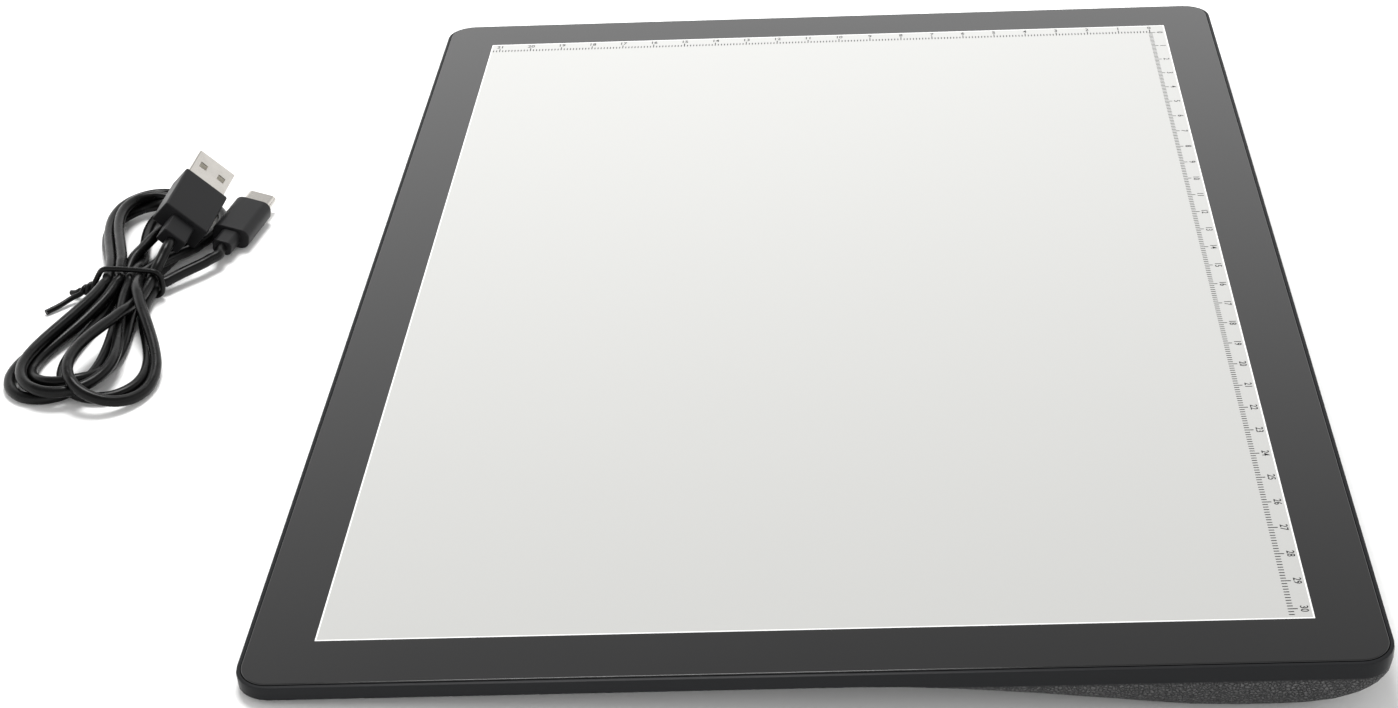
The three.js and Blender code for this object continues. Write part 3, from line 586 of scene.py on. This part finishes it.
# Each plug's root in the lead's frame, and how it is turned in plan, raised and rolled, as in the CAD.
PLUG_A = {"root": (9.9, 12.4, 10), "turn": 13, "rise": 5, "roll": 42}
PLUG_C = {"root": (22.5, 18, 4.1), "turn": 17, "rise": 0.5, "roll": 10}
BOOT_A = {"length": 7.6, "width": 7.2, "height": 5, "corner": 0.7}
BODY_A = {"length": 18, "width": 14, "height": 8, "corner": 0.7}
BOOT_C = {"length": 6.4, "width": 5.6, "height": 4.4, "corner": 1.5}
BODY_C = {"length": 17, "width": 10.8, "height": 6.2, "corner": 2.6}
GRIP_EDGE = 0.35  # rounding of the grips' and boots' edges
GRIP_STEPS = 5

# The hank's folds in order from the USB-A plug: the turn's middle across, how far out it reaches,
# the side its first run is on, how high it is first laid, and its slot under the tie on the way back.
FOLDS = [
    (-1.0, -61.0, -1, 13.5, (3, 1)),
    (11.5, 52.0, 1, 1.5, (2, 1)),
    (-12.0, -57.5, 1, 10.5, (0, 1)),
    (1.5, 54.0, -1, 10.5, (3, 0)),
    (-14.5, -51.0, 1, 7.5, (1, 1)),
    (4.5, 51.0, -1, 7.5, (2, 0)),
    (-16.0, -55.0, 1, 4.5, (0, 0)),
    (0.5, 49.0, -1, 4.5, (1, 0)),
    (-1.5, -56.5, -1, 1.5, (4, 0)),
]
FIRST_SLOT = (4, 1)


def plug_place(plug):
    """A plug's own frame: origin at its boot's root, Y towards its tip, Z out of its broad face."""
    turn, rise, roll = (math.radians(plug[k]) for k in ("turn", "rise", "roll"))
    spin = Matrix.Rotation(-turn, 4, "Z") @ Matrix.Rotation(rise, 4, "X") @ Matrix.Rotation(roll, 4, "Y")
    return Matrix.Translation(plug["root"]) @ spin


def slot_point(slot, y):
    """A point of a run under the tie: five slots across and two high."""
    column, row = slot
    return ((column - 2) * SLOT_PITCH, y, BUNDLE_BASE + row * SLOT_PITCH)


def behind(plug, distances):
    """Points straight behind a plug's root, and inside its boot where the distance is negative."""
    place = plug_place(plug)
    return [tuple(place @ Vector((0, -back, 0))) for back in distances]


def run(slot, way, bend):
    """Two points between a slot under the tie and the place where a fold begins to bend."""
    points = []
    start = slot_point(slot, way * WAIST)
    for share in (0.4, 0.75):
        ease = share * share * (3 - 2 * share)
        across = start[0] + (bend[0] - start[0]) * ease
        along = start[1] + (bend[1] - start[1]) * share
        points.append((across, along, start[2] + (bend[2] - start[2]) * min(share * 1.5, 1)))
    return points


def hank_route():
    """Guide points of the whole cable, before it settles."""
    route = behind(PLUG_A, (-2, 1, 4))
    slot = FIRST_SLOT
    for middle, reach, first_side, height, next_slot in FOLDS:
        way = math.copysign(1, reach)
        route += [slot_point(slot, -way * WAIST), slot_point(slot, way * WAIST)]
        bend = reach - way * FOLD_RADIUS
        outward = run(slot, way, (middle + first_side * FOLD_RADIUS, bend, height))
        homeward = run(next_slot, way, (middle - first_side * FOLD_RADIUS, bend, height))
        route += outward
        for k in range(5):
            a = math.pi * k / 4
            across = middle + first_side * FOLD_RADIUS * math.cos(a)
            route.append((across, bend + way * FOLD_RADIUS * math.sin(a), height))
        route += reversed(homeward)
        slot = next_slot
    route += [slot_point(slot, -WAIST), slot_point(slot, WAIST)]
    return route + behind(PLUG_C, (5, 1.5, -2))


def through(points, spacing):
    """Evenly spaced points along a smooth curve through the given ones."""
    p = np.array(points, float)
    p = np.vstack([2 * p[0] - p[1], p, 2 * p[-1] - p[-2]])
    fine = []
    for i in range(1, len(p) - 2):
        t = np.linspace(0, 1, 24, endpoint=False)[:, None]
        a, b, c, d = p[i - 1], p[i], p[i + 1], p[i + 2]
        bent = 2 * b + (c - a) * t + (2 * a - 5 * b + 4 * c - d) * t ** 2
        fine.append((bent + (3 * b - a - 3 * c + d) * t ** 3) / 2)
    fine = np.vstack([*fine, p[-2:-1]])
    along = np.concatenate([[0], np.cumsum(np.linalg.norm(np.diff(fine, axis=0), axis=1))])
    marks = np.linspace(0, along[-1], int(round(along[-1] / spacing)) + 1)
    return np.stack([np.interp(marks, along, fine[:, k]) for k in range(3)], axis=1)


def pull(points, first, second, wanted, at_least, share):
    """Moves pairs of points along their line to the wanted distance apart."""
    gap = points[second] - points[first]
    distance = np.linalg.norm(gap, axis=1, keepdims=True) + 1e-9
    error = distance - wanted
    if at_least:
        error = np.minimum(error, 0)
    move = gap / distance * error * share / 2
    np.add.at(points, first, move)
    np.add.at(points, second, -move)


def push_out(points, blocks):
    """Keeps the cable's surface outside the plugs' bodies."""
    for inverse, forward, low, high in blocks:
        local = points @ inverse[:3, :3].T + inverse[:3, 3]
        nearest = np.clip(local, low, high)
        away = local - nearest
        distance = np.linalg.norm(away, axis=1)
        close = (distance < CABLE / 2) & (distance > 1e-6)
        away[close] *= (CABLE / 2 / distance[close] - 1)[:, None]
        local[close] += away[close]
        points[close] = local[close] @ forward[:3, :3].T + forward[:3, 3]


def plug_blocks():
    blocks = []
    for plug, boot, body in ((PLUG_A, BOOT_A, BODY_A), (PLUG_C, BOOT_C, BODY_C)):
        forward = np.array(plug_place(plug))
        half = np.array([body["width"] / 2, 0, body["height"] / 2])
        low, high = -half, half.copy()
        low[1], high[1] = boot["length"], boot["length"] + body["length"]
        blocks.append((np.linalg.inv(forward), forward, low, high))
    return blocks


def even_out(points, span, share):
    """Smooths changes of curvature over a span of points, as a cable's stiffness does."""
    bend = points[:-2 * span] - 2 * points[span:-span] + points[2 * span:]
    change = bend[:-2 * span] - 2 * bend[span:-span] + bend[2 * span:]
    points[2 * span:-2 * span] -= share * change


def settle(points, rounds):
    """Lets the folded cable sink under its weight until it rests on the floor and on itself."""
    count = len(points)
    start = points.copy()
    held = np.zeros(count, bool)
    held[:4] = held[-4:] = True
    waist = (np.abs(points[:, 1]) < TIE_HOLD) & (np.abs(points[:, 0]) < 2.6 * SLOT_PITCH)
    held[TAIL:-TAIL] |= waist[TAIL:-TAIL]
    blocks = plug_blocks()
    tie_mouth = slot_point((0, 0), -TIE_HOLD), slot_point((4, 1), TIE_HOLD)
    odd, even = np.arange(0, count - 1, 2), np.arange(1, count - 1, 2)
    step = np.linalg.norm(np.diff(points, axis=0), axis=1).mean() * SLACK_TAKEN
    tightest = 2 * FOLD_RADIUS * BEND_LIMIT
    chord = tightest * math.sin(BEND_REACH * step / tightest)
    ends = np.arange(count - BEND_REACH)
    i, j = np.triu_indices(count, APART)
    for turn in range(rounds):
        left = 1 - turn / rounds
        if turn % 25 == 0:
            near = np.linalg.norm(points[i] - points[j], axis=1) < NEARBY * CABLE
            first, second = i[near], j[near]
        points[:, 2] -= SINK * min(1, 2 * left)
        points[:, :2] += STAY * (start[:, :2] - points[:, :2])
        for span in (1, 2, 4):
            even_out(points, span, STIFFNESS)
        pull(points, ends, ends + BEND_REACH, chord, True, 0.5)
        pull(points, odd, odd + 1, step, False, 0.9)
        pull(points, even, even + 1, step, False, 0.9)
        pull(points, first, second, CABLE * CONTACT, True, 0.5)
        push_out(points, blocks)
        tied = np.abs(points[:, 1]) < TIE_HOLD
        points[tied] = np.clip(points[tied], *tie_mouth)
        points[:, 2] = np.maximum(points[:, 2], CABLE / 2)
        points[held] = start[held]
    return points


def round_wire(name, points, diameter, material, body, stands_for):
    """A smooth round wire through points of the lead's frame."""
    curve = bpy.data.curves.new(name, "CURVE")
    curve.dimensions = "3D"
    curve.bevel_depth = diameter / 2 * MM
    curve.bevel_resolution = 6
    curve.resolution_u = 3
    curve.use_fill_caps = True
    line = curve.splines.new("BEZIER")
    line.bezier_points.add(len(points) - 1)
    for knot, point in zip(line.bezier_points, points):
        knot.co = LEAD @ Vector(point)
        knot.handle_left_type = knot.handle_right_type = "AUTO"
    curve.materials.append(material)
    wire = bpy.data.objects.new(name, curve)
    bpy.context.scene.collection.objects.link(wire)
    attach(wire, body)
    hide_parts(*stands_for)
    return wire


TIE_SLANT = -0.2  # of the loop across the bundle
TIE_CORNER = 2.6
TWIST_END = Vector((-13.2, -0.3, 2.6))  # where the two ends part
TWISTS = 1.25
TWIST_STEPS = 12
TIE_SHORT_END = [(-16.6, 1.9, 1.1), (-15.0, 0.9, 1.7)]
TIE_LONG_END = [(-15.4, -2.0, 1.9), (-18.6, -4.9, 1.2), (-21.9, -7.8, 0.9)]


def twisted_strand(begin, phase):
    """One of the tie's two ends, from the loop to where they part."""
    points = []
    for i in range(TWIST_STEPS + 1):
        a = phase + 2 * math.pi * TWISTS * i / TWIST_STEPS
        ring = Vector((0, math.cos(a), math.sin(a))) * (TIE_WIRE / 2)
        points.append(begin.lerp(TWIST_END, i / TWIST_STEPS) + ring)
    return points


def tie_route():
    """A wire round the bundle whose ends are twisted together and then part."""
    half = 2 * SLOT_PITCH + CABLE / 2 + TIE_WIRE / 2 + TIE_GAP
    low, high = TIE_WIRE / 2, BUNDLE_BASE + SLOT_PITCH + CABLE / 2 + TIE_WIRE / 2
    middle = (low + high) / 2
    outline = rounded_rectangle(half, (high - low) / 2, TIE_CORNER, 4)
    begin = min(range(len(outline)), key=lambda k: (outline[k][0], outline[k][1]))
    loop = []
    for k in range(len(outline)):
        x, z = outline[(begin + k) % len(outline)]
        loop.append((x, x * TIE_SLANT, z + middle))
    twist_begin = Vector((-half - 1.0, -half * TIE_SLANT * 0.4, middle - 0.6))
    under, over = (twisted_strand(twist_begin, side * math.pi / 2) for side in (-1, 1))
    return [*TIE_SHORT_END, *reversed(under[1:]), *loop[1:-1], *over[1:], *TIE_LONG_END]


def add_plug_body(name, plug, boot, body, stands_for, finish):
    """The moulded grip and its boot: one closed skin of rounded sections along the plug."""
    edge = GRIP_EDGE
    split = boot["length"]
    face = split + body["length"]
    sections = [
        (0, boot, edge), (edge * 0.3, boot, edge * 0.3), (edge, boot, 0),
        (split, boot, 0), (split, body, edge), (split + edge * 0.3, body, edge * 0.3),
        (split + edge, body, 0), (face - edge, body, 0), (face - edge * 0.3, body, edge * 0.3),
        (face, body, edge),
    ]
    rings = []
    for y, part, inset in sections:
        half_x, half_z = part["width"] / 2 - inset, part["height"] / 2 - inset
        outline = rounded_rectangle(half_x, half_z, max(part["corner"] - inset, 0.2), GRIP_STEPS)
        rings.append([(x, y, z) for x, z in outline])
    places, faces = skin(rings)
    mesh = mesh_of(name, places, faces, LEAD @ plug_place(plug), [finish])
    return add_piece(name, mesh, "charging_lead", stands_for, 50)


def add_lead(finishes):
    points = settle(through(hank_route(), STEP), SETTLING_ROUNDS)
    cable = round_wire(
        "lead_cable", points, CABLE, finishes["cable_jacket"], "charging_lead",
        ["lead_hank", "lead_tail_usb_a", "lead_tail_usb_c"],
    )
    tie = round_wire(
        "twist_tie", tie_route(), TIE_WIRE, finishes["tie_vinyl"], "charging_lead",
        ["tie_loop", "tie_end_short", "tie_end_long"],
    )
    grip_a = add_plug_body("usb_a_grip", PLUG_A, BOOT_A, BODY_A, ["usb_a_body"], finishes["plug_plastic"])
    grip_c = add_plug_body("usb_c_grip", PLUG_C, BOOT_C, BODY_C, ["usb_c_body"], finishes["plug_plastic"])


# ---- The object ---------------------------------------------------------------------------------

def add_pad(finishes):
    border = panel_print("black_print", (0.006, 0.006, 0.0062), 0.05, 0.1)
    # Painted highlight: a light strip round the white area's edge, standing for light caught there.
    edge_highlight = panel_print("painted_edge_highlight", (0.84, 0.84, 0.83), 0.1, 0.15)
    ink = moulded_plastic("ruler_ink", (0.01, 0.01, 0.0105), 0.5, 0.1)
    mesh = panel_mesh([finishes["top_acrylic"], border, edge_highlight])
    add_piece("top_panel_skin", mesh, "pad", ["top_panel"])
    add_rulers(ink)


def add_carried_over(finishes):
    """Every other CAD node keeps its shape and gets its slot's finish."""
    slots = {s["node"]: s["material_slot"] for s in RECORD["subparts"]}
    for body, members in RECORD["behaviour"]["bodies"].items():
        for node in members:
            if NODES[node].hide_render:
                continue
            welded_copy(node, finishes[slots[node]], body)


add_camera()
add_surround(0.45, 1.65)
add_area_light("key", (-0.3, -0.15, 0.8), (0, -0.05, 0), 0.35, 7.6)
add_floor(studio_floor("studio_floor"))
bpy.context.scene.view_settings.view_transform = "Standard"

FINISHES = slot_finishes()
add_pad(FINISHES)
add_lead(FINISHES)
add_carried_over(FINISHES)
